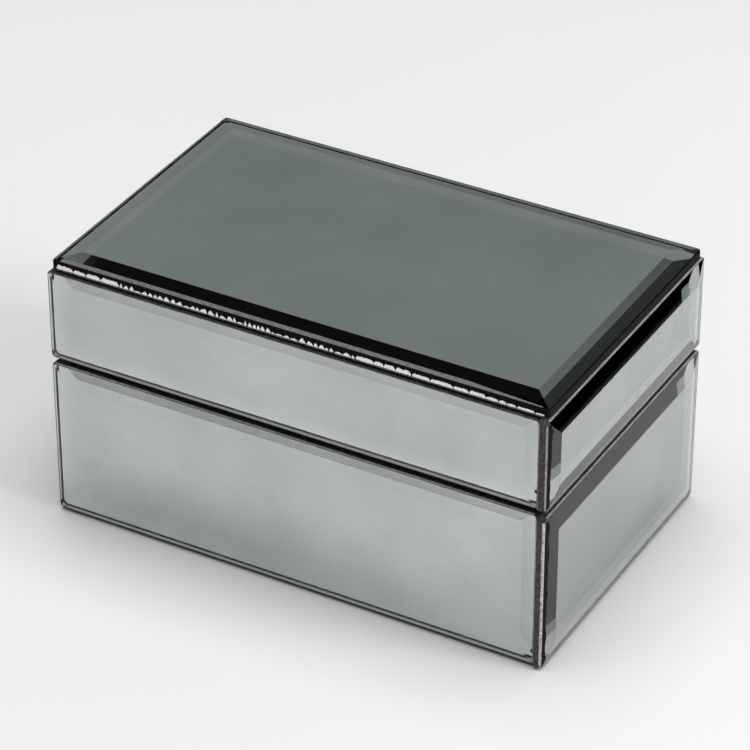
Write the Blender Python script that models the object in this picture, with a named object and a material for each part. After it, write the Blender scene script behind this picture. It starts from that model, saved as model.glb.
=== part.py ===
"""Vanity trinket box: a board carcass faced with bevelled smoked mirror, with a hinged lid.

The model stands on z = 0 with its origin at the centre of its underside. X runs along the front,
-Y faces the front and +Z is up. Sizes below are in millimetres and are turned into metres by MM.
"""

import math

import bmesh
import bpy
from mathutils import Matrix, Vector

MM = 0.001

# Driving dimensions of the whole box
BOX_W, BOX_D, BOX_H = 178.0, 108.6, 96.5
SEAM_Z = 58.1  # height of the parting plane between base and lid
FIT = 0.3  # gap between pieces that touch or are glued together

# Bevelled mirror panes
PANE_T = 4.0  # full thickness, from the silvered back to the front
BEVEL_W = 7.2  # width of the ground bevel
BEVEL_DROP = 1.25  # how much thinner the pane is at its edge
NIP = 1.0  # the corners are nipped off by this much
PANE_FOOT = 0.95  # the lowest panes end this far above the table
PANE_SEAM_GAP = 1.0  # panes end this far from the parting plane
BACK_SEAM_GAP = 1.15  # and the back ones this far, to clear the hinge leaves
TOP_INSET = 1.6  # the top pane is this much smaller than the box, each side
TOP_GAP, RIGHT_TOP_GAP = 1.3, 0.5  # the lid's side panes end this far under the top pane

# Carcass boards
BOARD_T = 5.0
FLOOR_T = 4.0
RIM_GAP = 0.15  # the rims of base and lid stop this far from the parting plane
CARCASS_X = BOX_W / 2 - PANE_T - FIT
CARCASS_Y = BOX_D / 2 - PANE_T - FIT

# Felt under the base, and the lining of both halves
FELT_T, FELT_INSET = 1.2, 2.0
LINING_T = 1.6
PAD_T = 4.0
LINING_TOP_GAP = 1.4  # the linings stop this far from the parting plane

# Hinges, on an axis just behind the back panes
HINGE_X = 48.0
HINGE_L = 20.0
KNUCKLE_R, BORE_R, PIN_R = 1.5, 0.8, 0.7
KNUCKLE_END = 5.0  # length of each of the base leaf's two outer knuckles
LEAF_T = 0.7
LEAF_W = 9.6
LEAF_ROOT = 1.0  # a leaf's root reaches to this distance from the axis
PIN_Y = BOX_D / 2 + 0.4
SCREW_X = 6.0
SCREW_R, SCREW_HEAD_R, SCREW_L, SCREW_HEAD_H = 0.75, 1.45, 6.5, 0.6
SCREW_CLEAR = 0.3
SCREW_Y = CARCASS_Y - BOARD_T / 2
ROUND_SEGMENTS = 24

BASE_Z0 = FELT_T + FIT  # underside of the floor board
WALL_Z0 = BASE_Z0 + FLOOR_T + FIT
LID_TOP_Z1 = BOX_H - PANE_T - FIT  # upper face of the lid's top board
LID_TOP_Z0 = LID_TOP_Z1 - BOARD_T
LID_WALL_Z1 = LID_TOP_Z0 - FIT


def material(name, colour, roughness, metallic=0.0):
    made = bpy.data.materials.new(name)
    made.use_nodes = True
    shader = made.node_tree.nodes["Principled BSDF"]
    shader.inputs["Base Color"].default_value = (*colour, 1.0)
    shader.inputs["Roughness"].default_value = roughness
    shader.inputs["Metallic"].default_value = metallic
    made.diffuse_color = (*colour, 1.0)
    return made


def add_object(name, bm, look=None, location=(0, 0, 0), rotation=(0, 0, 0)):
    """Turns a bmesh in millimetres into an object placed in metres."""
    bmesh.ops.scale(bm, vec=(MM, MM, MM), verts=bm.verts)
    bmesh.ops.recalc_face_normals(bm, faces=bm.faces)
    mesh = bpy.data.meshes.new(name)
    bm.to_mesh(mesh)
    bm.free()
    made = bpy.data.objects.new(name, mesh)
    bpy.context.scene.collection.objects.link(made)
    made.location = Vector(location) * MM
    made.rotation_euler = rotation
    if look:
        mesh.materials.append(look)
    return made


def helper(made):
    """Marks an object as a cutter or a tool that isn't part of the box."""
    made.hide_render = True
    made.display_type = "WIRE"
    return made


def block(name, low, high, look=None):
    bm = bmesh.new()
    bmesh.ops.create_cube(bm, size=1.0)
    size = Vector(high) - Vector(low)
    bmesh.ops.scale(bm, vec=size, verts=bm.verts)
    bmesh.ops.translate(bm, vec=(Vector(high) + Vector(low)) / 2, verts=bm.verts)
    return add_object(name, bm, look)


def turned(name, profile, look=None, location=(0, 0, 0), rotation=(0, 0, 0)):
    """A solid of revolution about Z. The profile holds (radius, height) pairs, closed on itself
    where it is a ring, and ends on the axis where it isn't."""
    bm = bmesh.new()
    points = [bm.verts.new((r, 0, z)) for r, z in profile]
    edges = [bm.edges.new(pair) for pair in zip(points, points[1:])]
    if profile[0][0] > 0:
        edges.append(bm.edges.new((points[-1], points[0])))
    bmesh.ops.spin(
        bm, geom=points + edges, axis=(0, 0, 1), cent=(0, 0, 0),
        angle=math.tau, steps=ROUND_SEGMENTS, use_merge=True,
    )
    bmesh.ops.remove_doubles(bm, verts=bm.verts, dist=1e-4)
    made = add_object(name, bm, look, location, rotation)
    made.data.shade_smooth()
    made.data.set_sharp_from_angle(angle=math.radians(35))
    return made


def boolean(target, tool, operation):
    cut = target.modifiers.new(tool.name, "BOOLEAN")
    cut.operation = operation
    cut.solver = "EXACT"
    cut.object = helper(tool)


def bevelled_pane(name, width, height, look, location, rotation):
    """A pane lying in its own XY plane: silvered back at z = 0, front at z = PANE_T, with a bevel
    along all four sides and nipped corners. width and height run from the origin's corner."""
    bm = bmesh.new()
    edge_z = PANE_T - BEVEL_DROP
    outline = [
        (NIP, 0), (width - NIP, 0), (width, NIP), (width, height - NIP),
        (width - NIP, height), (NIP, height), (0, height - NIP), (0, NIP),
    ]
    crease = [
        (BEVEL_W, BEVEL_W), (width - BEVEL_W, BEVEL_W),
        (width - BEVEL_W, height - BEVEL_W), (BEVEL_W, height - BEVEL_W),
    ]
    back = [bm.verts.new((x, y, 0)) for x, y in outline]
    edge = [bm.verts.new((x, y, edge_z)) for x, y in outline]
    front = [bm.verts.new((x, y, PANE_T)) for x, y in crease]
    bm.faces.new(reversed(back))
    bm.faces.new(front)
    for i in range(8):
        j = (i + 1) % 8
        bm.faces.new((back[i], back[j], edge[j], edge[i]))
    for i in range(4):
        j = (i + 1) % 4
        bm.faces.new((edge[2 * i], edge[2 * i + 1], front[j], front[i]))
        bm.faces.new((edge[2 * i + 1], edge[(2 * i + 2) % 8], front[j]))
    return add_object(name, bm, look, location, rotation)


def wall_panes(half, look, z0, z1, right_z1, back_z0, back_z1):
    """Four panes round one half of the box. The right pane runs the full depth and covers the ends
    of the front and back panes. The left pane covers the back pane's other end, and the front pane
    covers the left pane's front end."""
    half_w, half_d = BOX_W / 2, BOX_D / 2
    end = PANE_T + FIT
    upright = math.pi / 2
    sides = (
        # side, length, low and high z, corner the pane starts from, turn about Z
        ("front", BOX_W - end, z0, z1, (-half_w, -half_d + PANE_T), 0.0),
        ("right", BOX_D, z0, right_z1, (half_w - PANE_T, -half_d), upright),
        ("back", BOX_W - 2 * end, back_z0, back_z1, (half_w - end, half_d - PANE_T), 2 * upright),
        ("left", BOX_D - end, z0, z1, (-half_w + PANE_T, half_d), 3 * upright),
    )
    for side, length, low, high, (x, y), turn in sides:
        bevelled_pane(
            f"{half}_{side}_mirror", length, high - low, look, (x, y, low), (upright, 0, turn)
        )


def wall_boards(half, look, z0, z1):
    """Front and back boards run the full width of the carcass, and the side boards fit between."""
    inner_y = CARCASS_Y - BOARD_T
    side_y = inner_y - FIT
    inner_x = CARCASS_X - BOARD_T
    corners = {
        "front": ((-CARCASS_X, -CARCASS_Y, z0), (CARCASS_X, -inner_y, z1)),
        "back": ((-CARCASS_X, inner_y, z0), (CARCASS_X, CARCASS_Y, z1)),
        "left": ((-CARCASS_X, -side_y, z0), (-inner_x, side_y, z1)),
        "right": ((inner_x, -side_y, z0), (CARCASS_X, side_y, z1)),
    }
    return {side: block(f"{half}_{side}_board", *ends, look) for side, ends in corners.items()}


def wall_linings(half, look, z0, z1):
    """Velvet-covered cards inside the four boards. The side cards fit between the other two."""
    outer_x = CARCASS_X - BOARD_T - FIT
    outer_y = CARCASS_Y - BOARD_T - FIT
    inner_y = outer_y - LINING_T
    side_y = inner_y - FIT
    block(f"{half}_front_lining", (-outer_x, -outer_y, z0), (outer_x, -inner_y, z1), look)
    block(f"{half}_back_lining", (-outer_x, inner_y, z0), (outer_x, outer_y, z1), look)
    block(f"{half}_left_lining", (-outer_x, -side_y, z0), (LINING_T - outer_x, side_y, z1), look)
    block(f"{half}_right_lining", (outer_x - LINING_T, -side_y, z0), (outer_x, side_y, z1), look)


def pad(name, look, z0, z1):
    """A cushioned panel that fills the bottom of a half, inside its boards."""
    x = CARCASS_X - BOARD_T - FIT
    y = CARCASS_Y - BOARD_T - FIT
    return block(name, (-x, -y, z0), (x, y, z1), look)


def hinge_leaf(name, x, look, side, knuckles):
    """One leaf of a butt hinge. side is -1 for the base's leaf, under the parting plane, and +1 for
    the lid's. knuckles lists (start, end) along the axis, measured from the hinge's middle."""
    low = SEAM_Z + min(side * RIM_GAP, side * (RIM_GAP + LEAF_T))
    high = low + LEAF_T
    free_edge = PIN_Y - LEAF_W
    clear = PIN_Y - KNUCKLE_R - FIT
    half = HINGE_L / 2
    leaf = block(name, (x - half, free_edge, low), (x + half, clear, high), look)
    leaf.data.shade_flat()
    for number, (start, end) in enumerate(knuckles, 1):
        root = block(
            f"{name}_root_{number}", (x + start, clear - 0.2, low), (x + end, PIN_Y - LEAF_ROOT, high)
        )
        boolean(leaf, root, "UNION")
        ring = [(BORE_R, 0), (KNUCKLE_R, 0), (KNUCKLE_R, end - start), (BORE_R, end - start)]
        knuckle = turned(
            f"{name}_knuckle_{number}", ring, None, (x + start, PIN_Y, SEAM_Z), (0, math.pi / 2, 0)
        )
        boolean(leaf, knuckle, "UNION")
    turn = 0 if side < 0 else math.pi
    for number, screw_x in enumerate((x - SCREW_X, x + SCREW_X), 1):
        place = (screw_x, SCREW_Y, SEAM_Z + side * RIM_GAP)
        profile = screw_profile(SCREW_CLEAR, -2.0, 1.0)
        hole = turned(f"{name}_hole_{number}", profile, None, place, (turn, 0, 0))
        boolean(leaf, hole, "DIFFERENCE")


def screw_profile(extra, tip, above):
    """Half outline of a countersunk screw with its head's face at z = 0, pointing down. extra
    widens it and above raises it into a cutter."""
    head, shank = SCREW_HEAD_R + extra, SCREW_R + extra
    if above:
        return [(0, tip), (shank, tip), (shank, -SCREW_HEAD_H), (head, 0), (head, above), (0, above)]
    return [
        (0, tip), (shank, tip + 1.5), (shank, -SCREW_HEAD_H), (head, -0.12), (head, -0.02), (0, -0.02)
    ]


def screws(name, x, look, side, board):
    """Two screws through a leaf into the rim of the back board, with the hole that each needs."""
    turn = 0 if side < 0 else math.pi
    for number, screw_x in enumerate((x - SCREW_X, x + SCREW_X), 1):
        place = (screw_x, SCREW_Y, SEAM_Z + side * RIM_GAP)
        screw = turned(f"{name}_{number}", screw_profile(0, -SCREW_L, 0), look, place, (turn, 0, 0))
        end = SCREW_HEAD_R + 1
        slot = block(f"{name}_{number}_slot", (-end, -0.18, -0.32), (end, 0.18, 1.0))
        slot.parent = screw
        boolean(screw, slot, "DIFFERENCE")
        profile = screw_profile(SCREW_CLEAR, -SCREW_L - FIT, 2.0)
        hole = turned(f"{name}_{number}_pilot", profile, None, place, (turn, 0, 0))
        boolean(board, hole, "DIFFERENCE")


def leaf_recess(name, x, side, board):
    """The shallow pocket in a board's rim that takes a hinge leaf."""
    depth = side * (RIM_GAP + LEAF_T + FIT)
    low, high = sorted((SEAM_Z + depth, SEAM_Z + side * -1.0))
    half = HINGE_L / 2 + FIT
    recess = block(
        name, (x - half, PIN_Y - LEAF_W - FIT, low), (x + half, CARCASS_Y + 1.0, high)
    )
    boolean(board, recess, "DIFFERENCE")


def hinge(name, x, looks, boards):
    half = HINGE_L / 2
    middle = half - KNUCKLE_END
    ends = ((-half, -middle), (middle, half))
    hinge_leaf(f"{name}_base_leaf", x, looks["metal"], -1, ends)
    hinge_leaf(f"{name}_lid_leaf", x, looks["metal"], 1, ((FIT - middle, middle - FIT),))
    dome, shoulder = 0.35, PIN_R * 0.7
    pin = [(0, -dome), (shoulder, -dome * 0.7), (PIN_R, 0)]
    pin += [(r, HINGE_L - z) for r, z in reversed(pin)]
    turned(f"{name}_pin", pin, looks["metal"], (x - half, PIN_Y, SEAM_Z), (0, math.pi / 2, 0))
    for half_name, side in (("base", -1), ("lid", 1)):
        board = boards[half_name]
        leaf_recess(f"{name}_{half_name}_recess", x, side, board)
        screws(f"{name}_{half_name}_screw", x, looks["metal"], side, board)


def hang_lid():
    """Parents the lid's pieces to an empty on the hinge axis; turning it about X opens the lid."""
    axis = Vector((0, PIN_Y, SEAM_Z)) * MM
    pivot = bpy.data.objects.new("lid_hinge_axis", None)
    pivot.location = axis
    bpy.context.scene.collection.objects.link(pivot)
    for made in bpy.data.objects:
        on_lid = made.name.startswith("lid_") or "_lid_" in made.name
        if on_lid and made != pivot and made.parent is None:
            made.parent = pivot
            made.matrix_parent_inverse = Matrix.Translation(-axis)


def build():
    for old in list(bpy.data.objects):
        bpy.data.objects.remove(old)
    looks = {
        "mirror": material("smoked_mirror", (0.34, 0.36, 0.36), 0.03, 1.0),
        "board": material("black_board", (0.02, 0.02, 0.02), 0.6),
        "velvet": material("black_velvet", (0.015, 0.015, 0.017), 0.95),
        "felt": material("black_felt", (0.02, 0.02, 0.02), 1.0),
        "metal": material("nickel_hinge", (0.62, 0.6, 0.56), 0.3, 1.0),
    }

    # Base: felt, floor, four walls, four panes and the lining
    felt_x, felt_y = CARCASS_X - FELT_INSET, CARCASS_Y - FELT_INSET
    block("base_felt", (-felt_x, -felt_y, 0), (felt_x, felt_y, FELT_T), looks["felt"])
    floor = ((-CARCASS_X, -CARCASS_Y, BASE_Z0), (CARCASS_X, CARCASS_Y, BASE_Z0 + FLOOR_T))
    block("base_floor_board", *floor, looks["board"])
    base_boards = wall_boards("base", looks["board"], WALL_Z0, SEAM_Z - RIM_GAP)
    seam = SEAM_Z - PANE_SEAM_GAP
    wall_panes(
        "base", looks["mirror"], PANE_FOOT, seam, seam, PANE_FOOT, SEAM_Z - BACK_SEAM_GAP
    )
    pad("base_floor_pad", looks["velvet"], WALL_Z0, WALL_Z0 + PAD_T)
    wall_linings("base", looks["velvet"], WALL_Z0 + PAD_T + FIT, SEAM_Z - LINING_TOP_GAP)

    # Lid: top board, four walls, five panes and the lining
    top = ((-CARCASS_X, -CARCASS_Y, LID_TOP_Z0), (CARCASS_X, CARCASS_Y, LID_TOP_Z1))
    block("lid_top_board", *top, looks["board"])
    lid_boards = wall_boards("lid", looks["board"], SEAM_Z + RIM_GAP, LID_WALL_Z1)
    pane_top = BOX_H - PANE_T - TOP_GAP
    wall_panes(
        "lid", looks["mirror"], SEAM_Z + PANE_SEAM_GAP, pane_top, BOX_H - PANE_T - RIGHT_TOP_GAP,
        SEAM_Z + BACK_SEAM_GAP, pane_top
    )
    bevelled_pane(
        "lid_top_mirror", BOX_W - 2 * TOP_INSET, BOX_D - 2 * TOP_INSET, looks["mirror"],
        (TOP_INSET - BOX_W / 2, TOP_INSET - BOX_D / 2, BOX_H - PANE_T), (0, 0, 0),
    )
    pad("lid_top_pad", looks["velvet"], LID_WALL_Z1 - PAD_T, LID_WALL_Z1)
    wall_linings("lid", looks["velvet"], SEAM_Z + LINING_TOP_GAP, LID_WALL_Z1 - PAD_T - FIT)

    boards = {"base": base_boards["back"], "lid": lid_boards["back"]}
    for side, x in (("left", -HINGE_X), ("right", HINGE_X)):
        hinge(f"hinge_{side}", x, looks, boards)
    hang_lid()


build()
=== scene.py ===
"""Vanity trinket box in bevelled smoked mirror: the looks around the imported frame.

The nine panes are rebuilt as real bevelled glass with a silver sheet and back paint behind each,
so that their reflections come from the glass itself. Lengths on the object are in millimetres and
scaled by MM. The setting is in metres.
"""

import math
import random

import bmesh
import bpy
from mathutils import Matrix, Vector
from mathutils import noise as field


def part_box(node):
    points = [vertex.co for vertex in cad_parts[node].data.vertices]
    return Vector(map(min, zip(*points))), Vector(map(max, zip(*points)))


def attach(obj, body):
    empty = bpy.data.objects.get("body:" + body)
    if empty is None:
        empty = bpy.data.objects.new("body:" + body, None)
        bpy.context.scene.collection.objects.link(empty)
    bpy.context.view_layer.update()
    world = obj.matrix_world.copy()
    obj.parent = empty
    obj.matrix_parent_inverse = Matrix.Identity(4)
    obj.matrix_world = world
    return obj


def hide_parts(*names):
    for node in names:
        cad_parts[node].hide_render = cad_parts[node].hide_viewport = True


MM = 0.001

# Panes: the first two follow the CAD panes
BEVEL_W = 7.2
BEVEL_DROP = 1.25
CORNER_R = 1.4
CORNER_STEPS = 5
EDGE_STEP = 1.1  # spacing of points along a ground edge
EDGE_T = 0.08  # thickness of the ground skin on an edge
GLASS_INSET = EDGE_T + 0.01  # the glass stays this far inside the pane's outline, clear of the skin
GLASS_FOOT = 0.05  # the glass's own chamfer starts this far below the ground one
CHAMFER = 0.3
ARRIS_LIFT, ARRIS_UNDER = 0.02, 0.006  # the arris's top and underside above the bevel
SILVER_INSET, SILVER_GAP, SILVER_T = 0.05, 0.02, 0.05
PAINT_INSET, PAINT_GAP, PAINT_T = 0.02, 0.1, 0.08

# The ground band on the top pane's front bevel
BAND_START, BAND_END = 3.0, 2.6  # its distances from the pane's left and right ends
BAND_TAPER = 24.0
BAND_OFFSET, BAND_LIFT, BAND_T = 0.5, 0.03, 0.015

# The uneven ground lines on some edges: their light tone is partly painted highlight, and the black
# strip by the right panes' corners is painted shade
LINE_MARGIN, LINE_STEP, LINE_T = 1.3, 0.9, 0.012
LINE_PROUD = 0.02  # how far a line stands out of the edge face

# The broken silvering on the top pane's front edge, and the broken spots on two bevels
CHIPS_SEED, CHIPS_STEP, CHIPS_T = 5, 0.32, 0.03
FLAKE_RUN, FLAKE_TALL, FLAKE_SPACE = (2.5, 8.0), (1.15, 1.6), (0.1, 0.5)
LUMP_RUN, LUMP_TALL, LUMP_SPACE = (1.0, 2.8), (0.6, 1.0, 1.4, 1.7, 1.75), (0.05, 0.45)
NICK_POINTS, NICK_LIFT, NICK_UNDER = 9, 0.02, 0.008

# Soft pieces
PAD_CELL, PAD_RADIUS, PAD_CROWN = 2.4, 3.0, 0.3
PAD_START = 0.55  # share of its final thickness that a pad starts the simulation with
PAD_CAP = 3.0  # the most that a point of a pad may move
PAD_HELD = 0.05  # points this near to the board are held
PAD_FRAMES = 20
LINING_CELL, LINING_RADIUS, LINING_CROWN = 2.5, 1.3, 0.12
FELT_CELL, FELT_RADIUS = 4.0, 0.5

# Setting, in metres, apart from the camera's lens and sensor, which are in millimetres
FLOOR_REACH = 12
CAMERA_AT = (0.48637, -0.87078, 0.69962)
CAMERA_LOOK = (-0.40916, 0.73134, -0.54565)
CAMERA_LENS, CAMERA_SENSOR = 178.46, 36.0
LAMPS_AIM = (0, 0, 0.04)
LAMPS = (
    # name, place, size, power in watts
    ("side_lamp", (1.05, 0.02, 0.9), 0.5, 8.0),
    ("overhead_lamp", (0.0, 0.0, 4.0), 3.4, 124.0),
)
FLAGS = (
    # name, low corner, high corner, height, shares that fade at its sides, and at its front and back
    ("floor_flag", (0.188, 0.0), (0.32, 0.36), 0.002, (0.09, 0.45), (0.25, 0.3)),
    ("upper_flag", (-0.27, 0.035), (0.1, 0.135), 0.3, (0.16, 0.14), (0.28, 0.28)),
)
SKY = (
    # sine of the angle above the horizon, colour
    (0.0, (0.008, 0.008, 0.008)), (0.38, (0.01, 0.01, 0.01)), (0.475, (0.315, 0.345, 0.355)),
    (0.68, (0.38, 0.4, 0.41)), (0.74, (0.37, 0.37, 0.37)), (0.82, (0.12, 0.12, 0.12)),
    (0.93, (0.2, 0.205, 0.205)), (1.0, (0.5, 0.5, 0.5)),
)

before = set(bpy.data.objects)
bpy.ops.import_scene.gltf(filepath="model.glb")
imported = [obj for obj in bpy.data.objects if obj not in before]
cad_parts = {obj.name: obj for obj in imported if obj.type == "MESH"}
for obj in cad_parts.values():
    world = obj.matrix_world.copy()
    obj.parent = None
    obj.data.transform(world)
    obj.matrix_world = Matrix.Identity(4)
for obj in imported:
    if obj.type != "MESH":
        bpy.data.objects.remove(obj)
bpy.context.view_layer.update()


# ---------------------------------------------------------------- materials

def new_material(name):
    """A new material, its node tree and its Principled shader."""
    made = bpy.data.materials.new(name)
    made.use_nodes = True
    tree = made.node_tree
    shader = tree.nodes["Principled BSDF"]
    return made, tree, shader


def node(tree, kind, **settings):
    """Adds a node of a kind with the given settings."""
    made = tree.nodes.new(kind)
    for key, value in settings.items():
        setattr(made, key, value)
    return made


def noise(tree, scale, detail=3.0, roughness=0.5):
    """The value of a noise in the object's own coordinates."""
    where = node(tree, "ShaderNodeTexCoord")
    made = node(tree, "ShaderNodeTexNoise")
    made.inputs["Scale"].default_value = scale
    made.inputs["Detail"].default_value = detail
    made.inputs["Roughness"].default_value = roughness
    tree.links.new(where.outputs["Object"], made.inputs["Vector"])
    return made.outputs["Fac"]


def ramp(tree, source, *stops):
    """The colour that source gives on a ramp. Each stop is a position and a colour."""
    made = node(tree, "ShaderNodeValToRGB")
    ends = made.color_ramp.elements
    ends[0].position, ends[0].color = stops[0][0], (*stops[0][1], 1)
    ends[1].position, ends[1].color = stops[-1][0], (*stops[-1][1], 1)
    for position, colour in stops[1:-1]:
        ends.new(position).color = (*colour, 1)
    tree.links.new(source, made.inputs["Fac"])
    return made.outputs["Color"]


def spread(tree, source, low, high):
    """Maps the middle of a noise's range to the range from low to high."""
    made = node(tree, "ShaderNodeMapRange")
    made.inputs["From Min"].default_value = 0.3
    made.inputs["From Max"].default_value = 0.7
    made.inputs["To Min"].default_value = low
    made.inputs["To Max"].default_value = high
    tree.links.new(source, made.inputs["Value"])
    return made.outputs["Result"]


def bump(tree, shader, height, strength, distance):
    """Gives the shader relief from a height."""
    made = node(tree, "ShaderNodeBump")
    made.inputs["Strength"].default_value = strength
    made.inputs["Distance"].default_value = distance
    tree.links.new(height, made.inputs["Height"])
    tree.links.new(made.outputs["Normal"], shader.inputs["Normal"])


def glass_material():
    """Clear glass whose grey-green comes from absorption, so it deepens with the path inside."""
    made, tree, shader = new_material("smoked_glass")
    shader.inputs["Base Color"].default_value = (1, 1, 1, 1)
    shader.inputs["Roughness"].default_value = 0.0
    shader.inputs["IOR"].default_value = 1.52
    shader.inputs["Transmission Weight"].default_value = 1.0
    smoke = node(tree, "ShaderNodeVolumeAbsorption")
    smoke.inputs["Color"].default_value = (0.26, 0.335, 0.29, 1)
    smoke.inputs["Density"].default_value = 98.0
    tree.links.new(smoke.outputs["Volume"], tree.nodes["Material Output"].inputs["Volume"])
    return made


def mottled(name, scale, detail, low, high, roughness, metallic=0.0, relief=None, specular=0.5):
    """A material whose colour drifts between low and high with a noise."""
    made, tree, shader = new_material(name)
    cloud = noise(tree, scale, detail)
    tree.links.new(ramp(tree, cloud, (0.32, low), (0.68, high)), shader.inputs["Base Color"])
    shader.inputs["Metallic"].default_value = metallic
    shader.inputs["Specular IOR Level"].default_value = specular
    if isinstance(roughness, tuple):
        tree.links.new(spread(tree, cloud, *roughness), shader.inputs["Roughness"])
    else:
        shader.inputs["Roughness"].default_value = roughness
    if relief:
        bump(tree, shader, cloud, *relief)
    return made


def pile_material(name, nap_low, nap_high, sheen, pile_scale, depth):
    """Velvet or felt: a slow change of tone from the nap, and the pile as fine relief."""
    made, tree, shader = new_material(name)
    nap = noise(tree, 45.0, 3.0)
    pile = noise(tree, pile_scale, 3.0, 0.6)
    tree.links.new(ramp(tree, nap, (0.3, nap_low), (0.7, nap_high)), shader.inputs["Base Color"])
    shader.inputs["Roughness"].default_value = 0.95
    shader.inputs["Sheen Weight"].default_value = sheen
    shader.inputs["Sheen Roughness"].default_value = 0.35
    shader.inputs["Specular IOR Level"].default_value = 0.15
    bump(tree, shader, pile, depth, 0.0004)
    return made


def make_looks():
    """Every material, by a short name."""
    return {
        "glass": glass_material(),
        # The cloudy drift in the silvering's tone is painted reflection: it stands for a mottled floor
        # seen in the mirrors.
        "silver": mottled("silvering", 26.0, 5.0, (0.82, 0.83, 0.825), (0.97, 0.97, 0.96), 0.0, 1.0),
        "paint": mottled("back_paint", 300.0, 4.0, (0.02, 0.016, 0.014), (0.05, 0.04, 0.035), 0.7),
        "edge": mottled(
            "ground_edge", 900.0, 5.0, (0.03, 0.028, 0.027), (0.1, 0.093, 0.089), 0.5,
            relief=(0.6, 0.0001), specular=0.2
        ),
        # The top pane's cut edge is blackened; the same black, laid as a strip over the right panes'
        # bevels by the corner, is painted shade.
        "black_edge_and_shade": mottled(
            "blackened_edge_and_painted_shade", 1200.0, 5.0, (0.002, 0.002, 0.002), (0.012, 0.0105, 0.0095), 0.5,
            relief=(0.4, 0.0001), specular=0.04
        ),
        "band": mottled(
            "ground_band", 900.0, 5.0, (0.1, 0.096, 0.092), (0.19, 0.182, 0.175), 0.5,
            relief=(0.6, 0.0001)
        ),
        # The ground arris in two tones, one brighter and one dimmer: the tones are painted highlight on
        # the same ground glass.
        "dim_arris_highlight": mottled(
            "dim_arris_highlight", 1500.0, 5.0, (0.16, 0.15, 0.145), (0.5, 0.47, 0.455), 0.4,
            relief=(0.8, 0.0002)
        ),
        "arris": mottled(
            "ground_arris_bright_highlight", 1500.0, 5.0, (0.3, 0.26, 0.25), (0.92, 0.84, 0.82), 0.4,
            relief=(0.8, 0.0002)
        ),
        "chips": mottled(
            "chipped_silvering", 1700.0, 5.0, (0.78, 0.74, 0.71), (1.0, 0.995, 0.98), 0.28, 0.9,
            relief=(1.0, 0.0003)
        ),
        "board": mottled(
            "black_painted_board", 900.0, 5.0, (0.006, 0.006, 0.006), (0.018, 0.017, 0.016),
            (0.45, 0.7), relief=(0.25, 0.0002)
        ),
        "velvet": pile_material(
            "black_velvet", (0.006, 0.006, 0.007), (0.02, 0.02, 0.022), 0.35, 2600.0, 0.6
        ),
        "felt": pile_material("black_felt", (0.01, 0.01, 0.01), (0.035, 0.034, 0.033), 0.2, 1500.0, 0.8),
        "nickel": mottled(
            "nickel_plate", 260.0, 3.0, (0.62, 0.6, 0.57), (0.7, 0.68, 0.65), (0.24, 0.32), 1.0
        ),
        "floor": mottled("pale_floor", 3.0, 3.0, (0.80, 0.80, 0.795), (0.83, 0.83, 0.825), 0.6),
    }


# ---------------------------------------------------------------- meshes

def add_mesh(name, vertices, faces, material, world, smooth=False):
    """A new object. world takes the vertices to their place in metres."""
    bm = bmesh.new()
    made = [bm.verts.new(v) for v in vertices]
    for face in faces:
        bm.faces.new([made[i] for i in face])
    bmesh.ops.recalc_face_normals(bm, faces=bm.faces)
    mesh = bpy.data.meshes.new(name)
    bm.to_mesh(mesh)
    bm.free()
    mesh.transform(world)
    mesh.materials.append(material)
    if smooth:
        mesh.shade_smooth()
    obj = bpy.data.objects.new(name, mesh)
    bpy.context.scene.collection.objects.link(obj)
    return obj


def ring_faces(count, section):
    """Faces of a tube round a closed path of count steps, with section points in its cross-section."""
    faces = []
    for i in range(count):
        j = (i + 1) % count
        for k in range(section):
            m = (k + 1) % section
            faces.append((i * section + k, i * section + m, j * section + m, j * section + k))
    return faces


class Pane:
    """One pane's place. u runs along it, v up it and w outwards from its silvered back; all in mm."""

    def __init__(self, cad_node, side):
        low, high = (Vector(p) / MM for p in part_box(cad_node))
        turns = {"front": (1, 0, 0), "right": (0, 1, 0), "back": (-1, 0, 0), "left": (0, -1, 0)}
        if side == "top":
            u, v = Vector((1, 0, 0)), Vector((0, 1, 0))
        else:
            u, v = Vector(turns[side]), Vector((0, 0, 1))
        w = u.cross(v)
        size = high - low
        self.width, self.height = abs(size.dot(u)), abs(size.dot(v))
        self.thick = abs(size.dot(w))
        corner = Vector([low[i] if (u + v + w)[i] > 0 else high[i] for i in range(3)])
        self.name = cad_node
        self.body = "lid" if cad_node.startswith("lid_") else "base"
        place = Matrix.Translation(corner) @ Matrix((u, v, w)).transposed().to_4x4()
        self.world = Matrix.Scale(MM, 4) @ place
        self.seed = sum(map(ord, cad_node)) * 0.37  # each pane wears in its own way

    def outline(self, inset=0.0, fine=True):
        """Points round the pane, which has rounded corners. inset is a number or one per point.
        fine adds points along the straight sides."""
        w, h, r = self.width, self.height, CORNER_R
        centres = ((w - r, r, -90), (w - r, h - r, 0), (r, h - r, 90), (r, r, 180))
        runs = (h - 2 * r, w - 2 * r) * 2
        points = []
        for (cx, cy, start), run in zip(centres, runs):
            for step in range(CORNER_STEPS):
                a = math.radians(start + 90 * step / (CORNER_STEPS - 1))
                points.append((cx, cy, math.cos(a), math.sin(a), r))
            a = math.radians(start + 90)
            out_x, out_y = math.cos(a), math.sin(a)
            extra = int(run / EDGE_STEP) if fine else 1
            for step in range(1, extra):
                along = run * step / extra
                points.append((cx - out_y * along, cy + out_x * along, out_x, out_y, r))
        insets = [inset] * len(points) if isinstance(inset, (int, float)) else inset
        return [(x + (r - d) * a, y + (r - d) * b) for (x, y, a, b, r), d in zip(points, insets)]

    def surface(self, x, y):
        """Height of the front of the glass above its back."""
        near = min(x, y, self.width - x, self.height - y)
        return self.thick - BEVEL_DROP * (1 - min(near / BEVEL_W, 1))

    def rough(self, x, y, scale):
        """A number from about 0 to 1 that changes irregularly along an edge."""
        return 0.5 + 0.5 * field.noise(Vector((x / scale, y / scale, self.seed)))


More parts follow.
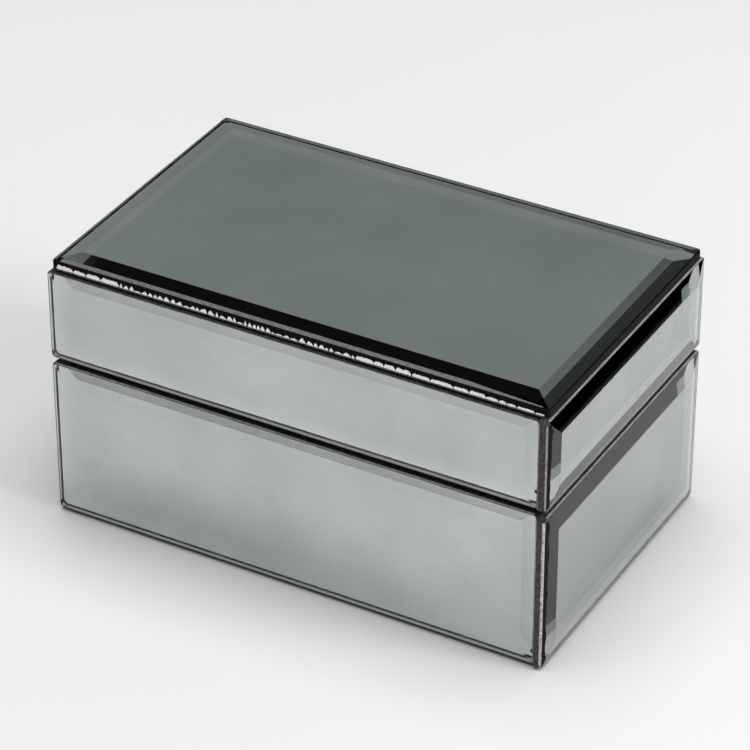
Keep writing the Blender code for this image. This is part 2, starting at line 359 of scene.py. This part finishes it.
def glass_pane(pane, material):
    """Closed glass: flat back, edge, a small ground chamfer, the bevel and the flat front."""
    rim = pane.outline(GLASS_INSET, fine=False)
    rim_in = pane.outline(GLASS_INSET + CHAMFER, fine=False)
    count = len(rim)
    low = pane.thick - BEVEL_DROP - CHAMFER - GLASS_FOOT
    vertices = [(x, y, 0) for x, y in rim]
    vertices += [(x, y, low) for x, y in rim]
    vertices += [(x, y, pane.surface(x, y)) for x, y in rim_in]
    w, h, b = pane.width, pane.height, BEVEL_W
    crease = [(w - b, b), (w - b, h - b), (b, h - b), (b, b)]
    vertices += [(x, y, pane.thick) for x, y in crease]
    faces = [tuple(range(count))[::-1], tuple(range(3 * count, 3 * count + 4))]
    for i in range(count):
        j = (i + 1) % count
        faces.append((i, j, count + j, count + i))
        faces.append((count + i, count + j, 2 * count + j, 2 * count + i))
    # The middle of each rounded corner is where two bevels meet
    middles = [corner * CORNER_STEPS + CORNER_STEPS // 2 for corner in range(4)]
    for corner in range(4):
        i, last = middles[corner], middles[(corner + 1) % 4]
        strip = [2 * count + i]
        while i != last:
            i = (i + 1) % count
            strip.append(2 * count + i)
        faces.append((*strip, 3 * count + (corner + 1) % 4, 3 * count + corner))
    return add_mesh(f"{pane.name}_glass", vertices, faces, material, pane.world)


def sheet(pane, name, material, inset, z0, z1):
    """A thin closed sheet behind the glass."""
    rim = pane.outline(inset, fine=False)
    count = len(rim)
    vertices = [(x, y, z0) for x, y in rim] + [(x, y, z1) for x, y in rim]
    faces = [tuple(range(count))[::-1], tuple(range(count, 2 * count))]
    for i in range(count):
        j = (i + 1) % count
        faces.append((i, j, count + j, count + i))
    return add_mesh(f"{pane.name}_{name}", vertices, faces, material, pane.world)


def ground_edge(pane, material):
    """The matt skin on a pane's cut edge."""
    outer, inner = pane.outline(), pane.outline(EDGE_T)
    top = pane.thick - BEVEL_DROP - CHAMFER
    vertices = []
    for (xo, yo), (xi, yi) in zip(outer, inner):
        vertices += [(xo, yo, 0), (xo, yo, top - 0.01), (xi, yi, top - 0.03), (xi, yi, 0)]
    return add_mesh(f"{pane.name}_edge", vertices, ring_faces(len(outer), 4), material, pane.world)


def arris_width(pane, x, y):
    """How far the ground arris reaches in over the bevel at a point of the outline."""
    wear = pane.rough(x, y, 4.0) * 0.16 + pane.rough(x, y, 1.3) * 0.14
    return CHAMFER + 0.08 + wear


def arris(pane, material):
    """The narrow, uneven ground line where the edge meets the bevel."""
    outer = pane.outline()
    reach = [arris_width(pane, x, y) for x, y in outer]
    edge_z = pane.thick - BEVEL_DROP
    rows = [
        (outer, lambda x, y: edge_z - CHAMFER),
        (pane.outline(CHAMFER), lambda x, y: pane.surface(x, y) + ARRIS_LIFT),
        (pane.outline(reach), lambda x, y: pane.surface(x, y) + ARRIS_LIFT),
        (pane.outline(reach), lambda x, y: pane.surface(x, y) + ARRIS_UNDER),
        (pane.outline(CHAMFER + 0.05), lambda x, y: pane.surface(x, y) + ARRIS_UNDER),
        (pane.outline(EDGE_T), lambda x, y: edge_z - CHAMFER - 0.02),
    ]
    vertices = [(*row[0][i], row[1](*row[0][i])) for i in range(len(outer)) for row in rows]
    return add_mesh(f"{pane.name}_arris", vertices, ring_faces(len(outer), 6), material, pane.world)


def strip_prism(low, high, step):
    """A closed prism between two lines of points with the same count, thickened by step."""
    outline = low + high[::-1]
    count = len(outline)
    far = [tuple(a + b for a, b in zip(p, step)) for p in outline]
    half = len(low)
    faces = []
    for i in range(half - 1):
        a, b, c, d = i, i + 1, count - 2 - i, count - 1 - i
        faces += [(a, b, c, d), (count + d, count + c, count + b, count + a)]
    for i in range(count):
        j = (i + 1) % count
        faces.append((i, j, count + j, count + i))
    return outline + far, faces


def seam_band(pane, material):
    """The ground band on the top pane's front bevel: about 1.7 mm wide, tapering to its right end."""
    start, end = BAND_START, pane.width - BAND_END
    count = int(end - start)
    low, high = [], []
    for i in range(count + 1):
        x = start + (end - start) * i / count
        full = min(1.0, (end - x) / BAND_TAPER, (x - start) / 4.0 + 0.3)
        wide = 0.4 + full * (1.15 + 0.25 * pane.rough(x, 3.0, 9.0))
        for line, y in ((low, BAND_OFFSET), (high, BAND_OFFSET + wide)):
            line.append((x, y, pane.surface(x, y) + BAND_LIFT))
    vertices, faces = strip_prism(low, high, (0, 0, -BAND_T))
    return add_mesh(f"{pane.name}_front_band", vertices, faces, material, pane.world)


def bead(rows):
    """A closed bar with square ends. rows are its long edges in order round its section."""
    count, section = len(rows[0]), len(rows)
    vertices = [row[i] for i in range(count) for row in rows]
    faces = ring_faces(count, section)[:section * (count - 1)]
    faces += [tuple(range(section))[::-1], tuple(range(section * (count - 1), section * count))]
    return vertices, faces


def edge_line(pane, side, material, name, down, over, start=0.0, z_lift=0.0):
    """An uneven line along one side of a pane. Where down is above 0, it runs from about that far
    down the edge face, over the chamfer, to about over on the bevel. Where down is 0, it lies on the
    bevel only, from start to about over."""
    length = pane.width if side in ("top", "bottom") else pane.height
    place = {
        "start": lambda d, t: (d, t),
        "end": lambda d, t: (pane.width - d, t),
        "bottom": lambda d, t: (t, d),
        "top": lambda d, t: (t, pane.height - d),
    }[side]
    run = length - 2 * LINE_MARGIN
    count = int(run / LINE_STEP)
    edge_z = pane.thick - BEVEL_DROP
    slope = BEVEL_DROP / BEVEL_W
    rows = [[] for _ in range(8)]
    for i in range(count + 1):
        t = LINE_MARGIN + run * i / count
        wear = 0.75 + pane.rough(0.0, t, 5.0) * pane.rough(3.0, t, 1.4)
        low, reach = down * wear, max(over * wear, start + 0.12)
        z_far = pane.surface(*place(reach, t))
        if down:
            path = [
                (-LINE_PROUD, edge_z - CHAMFER - low), (-LINE_PROUD, edge_z - CHAMFER),
                (CHAMFER - LINE_PROUD, edge_z + 0.05), (reach + CHAMFER, z_far + 0.06)
            ]
        else:
            middle = (start + reach) / 2
            path = [
                (start, edge_z + slope * start + z_lift),
                (start + 0.05, edge_z + slope * start + z_lift + 0.01),
                (middle, edge_z + slope * middle + z_lift + 0.01), (reach, z_far + z_lift)
            ]
        outer = [(*place(d, t), z) for d, z in path]
        inner = [(*place(d + LINE_T, t), z - LINE_T) for d, z in path]
        for row, point in zip(rows, outer + inner[::-1]):
            row.append(point)
    return add_mesh(f"{pane.name}_{name}", *bead(rows), material, pane.world)


def nick(pane, material, x, y, size, seed):
    """A small broken spot on the bevel."""
    draw = random.Random(seed)
    rim = []
    for i in range(NICK_POINTS):
        a = math.tau * i / NICK_POINTS
        r = size * draw.uniform(0.55, 1.0)
        px, py = x + 0.5 * r * math.cos(a), y + r * math.sin(a)
        rim.append((px, py, pane.surface(px, py)))
    vertices = [(px, py, z + lift) for lift in (NICK_LIFT, NICK_UNDER) for px, py, z in rim]
    faces = [tuple(range(NICK_POINTS)), tuple(range(NICK_POINTS, 2 * NICK_POINTS))[::-1]]
    for i in range(NICK_POINTS):
        j = (i + 1) % NICK_POINTS
        faces.append((i, NICK_POINTS + i, NICK_POINTS + j, j))
    return add_mesh(f"{pane.name}_nick", vertices, faces, material, pane.world)


def chips(pane, material, seed):
    """Broken silvering on the front edge: long flakes towards both ends, and small lumps between."""
    draw = random.Random(seed)
    vertices, faces = [], []
    length = pane.width
    at = 2.0
    while at < length - 2.5:
        long_flake = at < 20 or at > 0.62 * length
        run = draw.uniform(*(FLAKE_RUN if long_flake else LUMP_RUN))
        stop = min(at + run, length - 1.6)
        tall = draw.uniform(*FLAKE_TALL) if long_flake else draw.choice(LUMP_TALL)
        tall *= min(1.0, 0.25 + (length - at) / 45)
        peak = draw.uniform(0.3, 0.7)
        count = max(5, int((stop - at) / CHIPS_STEP))
        low, high = [], []
        for i in range(count + 1):
            t = i / count
            if long_flake:
                shape = min(1.0, (t * run + 0.2) / 0.7, ((1 - t) * run + 0.2) / 0.7)
            else:
                shape = min(t / peak, (1 - t) / (1 - peak)) ** 0.65
            x = at + (stop - at) * t
            low.append((x, -0.004, 0.3 + draw.uniform(0.0, 0.12)))
            high.append((x, -0.004, 0.5 + tall * shape * draw.uniform(0.72, 1.0)))
        made, made_faces = strip_prism(low, high, (0, -CHIPS_T, 0))
        faces += [tuple(i + len(vertices) for i in face) for face in made_faces]
        vertices += made
        at = stop + draw.uniform(*(FLAKE_SPACE if long_flake else LUMP_SPACE))
    return add_mesh(f"{pane.name}_chips", vertices, faces, material, pane.world)


def edge_details(pane, half, side, looks):
    """The ground lines, broken spots and chips that one pane has besides its plain edge; the light
    lines' tone is partly painted highlight, and the black corner strip is painted shade.
    """
    if side == "top":
        return [seam_band(pane, looks["band"]), chips(pane, looks["chips"], CHIPS_SEED)]
    dim_highlight = looks["dim_arris_highlight"]
    if side == "right":
        # The base's corner line takes the brighter painted highlight, the lid's the dimmer one.
        light, down = (looks["arris"], 0.5) if half == "base" else (dim_highlight, 0.15)
        return [
            edge_line(pane, "start", light, "corner_line", down, 0.05),
            # A black strip over the bevel next to the corner: painted shade.
            edge_line(pane, "start", looks["black_edge_and_shade"], "corner_shade", 0, 2.3, 0.45, 0.03),
            edge_line(pane, "top", dim_highlight, "top_line", 0.12, 0.05),
        ]
    if side == "front":
        up = 6.5 if half == "lid" else 5.2
        made = [
            nick(pane, looks["paint"], pane.width - 0.75, up, 1.0, up),
            edge_line(pane, "bottom" if half == "lid" else "top", dim_highlight, "seam_line", 0.1, 0.02),
        ]
        # Only the lid's front end has a light line: painted highlight.
        if half == "lid":
            made.append(edge_line(pane, "end", dim_highlight, "end_line", 0.1, 0.05))
        return made
    return []


def build_panes(looks):
    """Glass, silver, paint and edges for each of the nine panes."""
    for half in ("base", "lid"):
        for side in ("front", "right", "back", "left") + (("top",) if half == "lid" else ()):
            pane = Pane(f"{half}_{side}_mirror", side)
            edge = looks["black_edge_and_shade" if side == "top" else "edge"]
            glass = glass_pane(pane, looks["glass"])
            silver_z, paint_z = -SILVER_GAP - SILVER_T, -PAINT_GAP - PAINT_T
            pieces = [
                glass,
                sheet(pane, "silver", looks["silver"], SILVER_INSET, silver_z, -SILVER_GAP),
                sheet(pane, "paint", looks["paint"], PAINT_INSET, paint_z, -PAINT_GAP),
                ground_edge(pane, edge),
                arris(pane, edge),
            ]
            for piece in pieces + edge_details(pane, half, side, looks):
                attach(piece, pane.body)
            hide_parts(pane.name)


# ---------------------------------------------------------------- soft pieces

def rounded_slab(name, cad_node, face, material, radius, cell, thick_share=1.0, crown=0.0):
    """A closed soft slab in a CAD node's box. face is the outward normal of the side that shows;
    that side has rounded borders and may be crowned, and the other side is flat."""
    low, high = (Vector(p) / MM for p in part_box(cad_node))
    axis = max(range(3), key=lambda i: abs(face[i]))
    across = [i for i in range(3) if i != axis]
    size = high - low
    counts = [max(4, round(size[i] / cell)) for i in across]
    depth = size[axis]

    def spaced(number, length):
        """Stations along a side, closer together near its ends."""
        inner = [radius + (length - 2 * radius) * k / number for k in range(number + 1)]
        ends = [0.0, radius * 0.08, radius * 0.3, radius * 0.62]
        return ends + inner + [length - e for e in ends[::-1]]

    stations = [spaced(n, size[i]) for n, i in zip(counts, across)]
    rise = []
    for side, length in zip(stations, (size[i] for i in across)):
        near = [min(s, length - s) for s in side]
        rise.append([1.0 if d >= radius else math.sqrt(1 - (1 - d / radius) ** 2) for d in near])
    vertices = []
    for layer in (0, 1):
        for a, s in enumerate(stations[0]):
            for b, t in enumerate(stations[1]):
                share = rise[0][a] * rise[1][b]
                u = s / stations[0][-1] * 2 - 1
                v = t / stations[1][-1] * 2 - 1
                dome = (1 - crown) + crown * (1 - u ** 4) * (1 - v ** 4)
                height = depth * thick_share * (0.12 + 0.88 * share * dome) if layer else 0.0
                place = low.copy()
                place[across[0]] += s
                place[across[1]] += t
                place[axis] = (low[axis] + height) if face[axis] > 0 else (high[axis] - height)
                vertices.append(tuple(place))
    na, nb = len(stations[0]), len(stations[1])

    def at(layer, a, b):
        """The number of a vertex."""
        return layer * na * nb + a * nb + b

    faces = []
    for a in range(na - 1):
        for b in range(nb - 1):
            faces.append((at(1, a, b), at(1, a + 1, b), at(1, a + 1, b + 1), at(1, a, b + 1)))
            faces.append((at(0, a, b + 1), at(0, a + 1, b + 1), at(0, a + 1, b), at(0, a, b)))
    border = [(a, 0) for a in range(na)] + [(na - 1, b) for b in range(1, nb)]
    border += [(a, nb - 1) for a in range(na - 2, -1, -1)] + [(0, b) for b in range(nb - 2, 0, -1)]
    for one, two in zip(border, border[1:] + border[:1]):
        faces.append((at(0, *one), at(0, *two), at(1, *two), at(1, *one)))
    return add_mesh(name, vertices, faces, material, Matrix.Scale(MM, 4), smooth=True)


def inflate(pad, cad_node, face):
    """Blows the pad up with a short cloth simulation, then keeps it inside its CAD box."""
    scene = bpy.context.scene
    before = [v.co.copy() for v in pad.data.vertices]
    held = pad.vertex_groups.new(name="held")
    axis = max(range(3), key=lambda i: abs(face[i]))
    low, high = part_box(cad_node)
    floor_at = low[axis] if face[axis] > 0 else high[axis]
    under = [v.index for v in pad.data.vertices if abs(v.co[axis] - floor_at) < PAD_HELD * MM]
    held.add(under, 1.0, "REPLACE")
    cloth = pad.modifiers.new("cloth", "CLOTH")
    cloth.settings.quality = 6
    cloth.settings.mass = 0.05
    cloth.settings.tension_stiffness = 12
    cloth.settings.compression_stiffness = 12
    cloth.settings.bending_stiffness = 0.2
    cloth.settings.use_pressure = True
    cloth.settings.uniform_pressure_force = 4.0
    cloth.settings.shrink_min = -0.06
    cloth.settings.vertex_group_mass = "held"
    cloth.settings.effector_weights.gravity = 0
    cloth.point_cache.frame_start, cloth.point_cache.frame_end = 1, PAD_FRAMES
    scene.frame_start, scene.frame_end = 1, PAD_FRAMES
    for number in range(1, PAD_FRAMES + 1):
        scene.frame_set(number)
    result = pad.evaluated_get(bpy.context.evaluated_depsgraph_get()).data
    after = [v.co.copy() for v in result.vertices]
    pad.modifiers.remove(cloth)
    pad.vertex_groups.remove(held)
    scene.frame_set(1)
    moved = 0.0
    for vertex, old, new in zip(pad.data.vertices, before, after):
        step = new - old
        if step.length > PAD_CAP * MM:
            step *= PAD_CAP * MM / step.length
        place = old + step
        for i in range(3):
            place[i] = min(max(place[i], low[i]), high[i])
        moved = max(moved, (place - old).length)
        vertex.co = place
    print("PAD", cad_node, "moved up to %.2f mm" % (moved / MM))


def build_soft(looks):
    """The two pads, the eight wall linings and the felt."""
    for cad_node, face in (("base_floor_pad", (0, 0, 1)), ("lid_top_pad", (0, 0, -1))):
        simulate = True
        pad = rounded_slab(
            f"{cad_node}_velvet", cad_node, face, looks["velvet"], PAD_RADIUS, PAD_CELL,
            thick_share=PAD_START if simulate else 1.0, crown=PAD_CROWN
        )
        if simulate:
            inflate(pad, cad_node, face)
        smooth = pad.modifiers.new("smooth", "SUBSURF")
        smooth.levels = smooth.render_levels = 1
        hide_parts(cad_node)
        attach(pad, "lid" if cad_node.startswith("lid") else "base")
    inward = {"front": (0, 1, 0), "back": (0, -1, 0), "left": (1, 0, 0), "right": (-1, 0, 0)}
    for half in ("base", "lid"):
        for side, face in inward.items():
            cad_node = f"{half}_{side}_lining"
            lining = rounded_slab(
                f"{cad_node}_velvet", cad_node, face, looks["velvet"], LINING_RADIUS, LINING_CELL,
                crown=LINING_CROWN
            )
            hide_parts(cad_node)
            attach(lining, half)
    felt = rounded_slab(
        "base_felt_sheet", "base_felt", (0, 0, -1), looks["felt"], FELT_RADIUS, FELT_CELL
    )
    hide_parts("base_felt")
    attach(felt, "base")


# ---------------------------------------------------------------- setting

def plane(name, low, high, z, material):
    """A level rectangle that belongs to the setting."""
    made = add_mesh(
        name, [(low[0], low[1], z), (high[0], low[1], z), (high[0], high[1], z), (low[0], high[1], z)],
        [(0, 1, 2, 3)], material, Matrix()
    )
    return made


def flag_material(name, fade_x, fade_y):
    """Black that fades out towards the plane's borders, over the given shares of its width and depth."""
    made, tree, shader = new_material(name)
    shader.inputs["Base Color"].default_value = (0.004, 0.004, 0.004, 1)
    shader.inputs["Roughness"].default_value = 1.0
    shader.inputs["Specular IOR Level"].default_value = 0.0
    where = node(tree, "ShaderNodeTexCoord")
    split = node(tree, "ShaderNodeSeparateXYZ")
    tree.links.new(where.outputs["Generated"], split.inputs["Vector"])
    clear, full = (0.0, 0.0, 0.0), (1.0, 1.0, 1.0)
    product = node(tree, "ShaderNodeMath", operation="MULTIPLY")
    for i, (first, last) in enumerate((fade_x, fade_y)):
        stops = ((0.0, clear), (first, full), (1.0 - last, full), (1.0, clear))
        tree.links.new(ramp(tree, split.outputs[i], *stops), product.inputs[i])
    tree.links.new(product.outputs["Value"], shader.inputs["Alpha"])
    return made


def build_sky():
    """A smooth grey sky: dark near the horizon, light halfway up, dim above that, light overhead."""
    world = bpy.data.worlds.new("studio")
    bpy.context.scene.world = world
    world.use_nodes = True
    tree = world.node_tree
    where = node(tree, "ShaderNodeTexCoord")
    split = node(tree, "ShaderNodeSeparateXYZ")
    tree.links.new(where.outputs["Generated"], split.inputs["Vector"])
    shade = ramp(tree, split.outputs["Z"], *SKY)
    tree.links.new(shade, tree.nodes["Background"].inputs["Color"])


def build_setting(looks):
    """The floor, the flags, the sky and the lamps."""
    plane("floor", (-FLOOR_REACH, -FLOOR_REACH), (FLOOR_REACH, FLOOR_REACH), 0.0, looks["floor"])
    # One flag lies on the floor to the right, and one hangs over the lid. Only reflections and
    # refractions see them.
    for name, low, high, z, fade_x, fade_y in FLAGS:
        flag = plane(name, low, high, z, flag_material(name, fade_x, fade_y))
        flag.visible_camera = False
        flag.visible_diffuse = False
        flag.visible_shadow = False
    build_sky()
    for name, place, size, power in LAMPS:
        data = bpy.data.lights.new(name, "AREA")
        data.shape = "SQUARE"
        data.size = size
        data.energy = power
        lamp = bpy.data.objects.new(name, data)
        lamp.location = place
        lamp.rotation_euler = (Vector(LAMPS_AIM) - Vector(place)).to_track_quat("-Z", "Y").to_euler()
        lamp.visible_glossy = False
        lamp.visible_transmission = False
        bpy.context.scene.collection.objects.link(lamp)


def build_camera():
    """A long lens that looks down at the box from its front right."""
    data = bpy.data.cameras.new("camera")
    camera = bpy.data.objects.new("camera", data)
    bpy.context.scene.collection.objects.link(camera)
    data.lens = CAMERA_LENS
    data.sensor_width = CAMERA_SENSOR
    data.clip_start, data.clip_end = 0.05, 30.0
    camera.location = CAMERA_AT
    camera.rotation_euler = Vector(CAMERA_LOOK).to_track_quat("-Z", "Y").to_euler()
    bpy.context.scene.camera = camera
    bpy.context.scene.view_settings.view_transform = "Standard"


# ---------------------------------------------------------------- build

def dress_cad(looks):
    """The boards and hinges keep their CAD shapes and get their materials."""
    for name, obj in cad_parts.items():
        pick = "board" if name.endswith("_board") else "nickel" if name.startswith("hinge_") else None
        if pick:
            for material_slot in obj.material_slots:
                material_slot.material = looks[pick]


looks = make_looks()
build_camera()
dress_cad(looks)
build_panes(looks)
build_soft(looks)
build_setting(looks)
